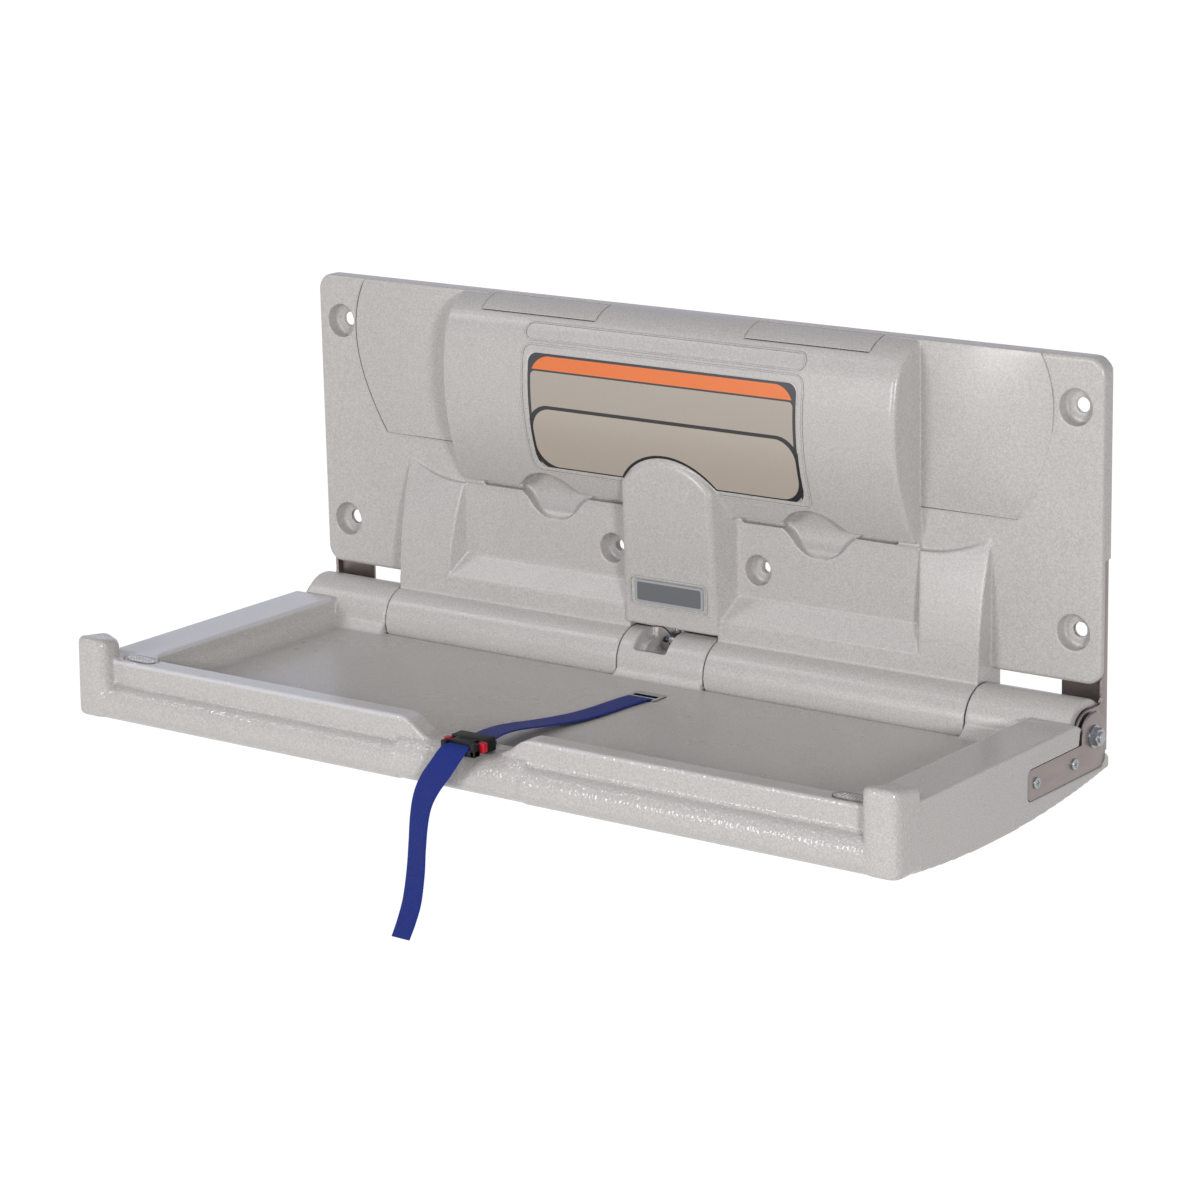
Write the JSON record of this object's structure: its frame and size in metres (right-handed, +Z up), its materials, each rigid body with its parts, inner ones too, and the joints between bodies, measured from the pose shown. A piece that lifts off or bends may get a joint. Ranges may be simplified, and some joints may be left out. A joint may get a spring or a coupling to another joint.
{
  "type": "baby changing station",
  "caption": "Wall-mounted fold-down baby changing table with a strap, lidded liner dispensers and a gas-spring hinge, shown open.",
  "frame": {"origin": "centre of the four corner screw holes, on the wall plane at the back of the panel", "axes": "+X right as the user faces it, +Y into the wall, +Z up"},
  "size_m": [0.92, 0.3906, 0.5215],
  "materials": {
    "moulded_plastic": "fine granite-speckled grain, as moulded",
    "steel_plate": "satin stainless sheet",
    "zinc_hardware": "zinc plated",
    "axle_steel": "cold drawn",
    "bearing_nylon": "natural nylon",
    "label_film": "printed film, satin",
    "name_plate_metal": "satin, blank",
    "gas_tube": "satin black enamel",
    "gas_rod_chrome": "ground and plated",
    "plate_chrome": "plated",
    "webbing": "woven royal-blue webbing",
    "buckle_plastic": "satin black",
    "button_plastic": "satin red"
  },
  "bodies": {
    "panel": {"wall_panel": "moulded_plastic", "wall_bracket_left": "steel_plate", "wall_bracket_right": "steel_plate", "stop_screws": "zinc_hardware", "hinge_rod": "axle_steel", "hinge_nuts": "zinc_hardware", "hinge_washers": "zinc_hardware", "spacer_washers": "bearing_nylon", "lid_pins": "zinc_hardware", "label_sheet": "label_film", "name_plate": "name_plate_metal", "gas_cylinder": "gas_tube", "spring_bracket": "steel_plate", "spring_pin": "zinc_hardware"},
    "tray": {"tray_moulding": "moulded_plastic", "hinge_bushes": "bearing_nylon", "crank_pin": "zinc_hardware", "arm_plate_left": "steel_plate", "arm_plate_right": "steel_plate", "arm_screws": "zinc_hardware", "corner_pads": "moulded_plastic", "strap_plate": "plate_chrome", "strap_anchor_bar": "zinc_hardware", "strap_deck_run": "webbing", "strap_front_drape": "webbing", "buckle_housing": "buckle_plastic", "buckle_tongue": "buckle_plastic"},
    "gas_spring_rod": {"gas_rod": "gas_rod_chrome", "gas_piston": "zinc_hardware"},
    "strap_end": {"strap_tail": "webbing"},
    "left_lid": {"lid_left": "moulded_plastic"},
    "right_lid": {"lid_right": "moulded_plastic"},
    "left_button": {"buckle_button_left": "button_plastic"},
    "right_button": {"buckle_button_right": "button_plastic"}
  },
  "joints": [
    {"name": "tray_fold", "type": "hinge", "parent": "panel", "child": "tray", "pos_m": [0, -0.033, -0.188], "axis": [-1, 0, 0], "range_deg": [0, 82.5]},
    {"name": "gas_rod_slide", "type": "slide", "parent": "panel", "child": "gas_spring_rod", "axis": [0, 0, -1], "range_m": [0, 0.0318]},
    {"name": "strap_end_swing", "type": "hinge", "parent": "tray", "child": "strap_end", "pos_m": [-0.023, -0.3815, -0.234], "axis": [-1, 0, 0], "range_deg": [-82.6, 0]},
    {"name": "lid_left_hinge", "type": "hinge", "parent": "panel", "child": "left_lid", "pos_m": [-0.153, -0.0162, 0.1425], "axis": [-1, 0, 0], "range_deg": [0, 90]},
    {"name": "lid_right_hinge", "type": "hinge", "parent": "panel", "child": "right_lid", "pos_m": [0.153, -0.0162, 0.1425], "axis": [-1, 0, 0], "range_deg": [0, 90]},
    {"name": "button_left_press", "type": "slide", "parent": "tray", "child": "left_button", "axis": [1, 0, 0], "range_m": [0, 0.0025], "stiffness_N_per_m": 600, "springref_m": -0.001},
    {"name": "button_right_press", "type": "slide", "parent": "tray", "child": "right_button", "axis": [-1, 0, 0], "range_m": [0, 0.0025], "stiffness_N_per_m": 600, "springref_m": -0.001}
  ],
  "couplings": [
    {"joint": "gas_rod_slide", "follows": "tray_fold", "m_per_rad": 0.02198},
    {"joint": "strap_end_swing", "follows": "tray_fold", "ratio": -1}
  ]
}
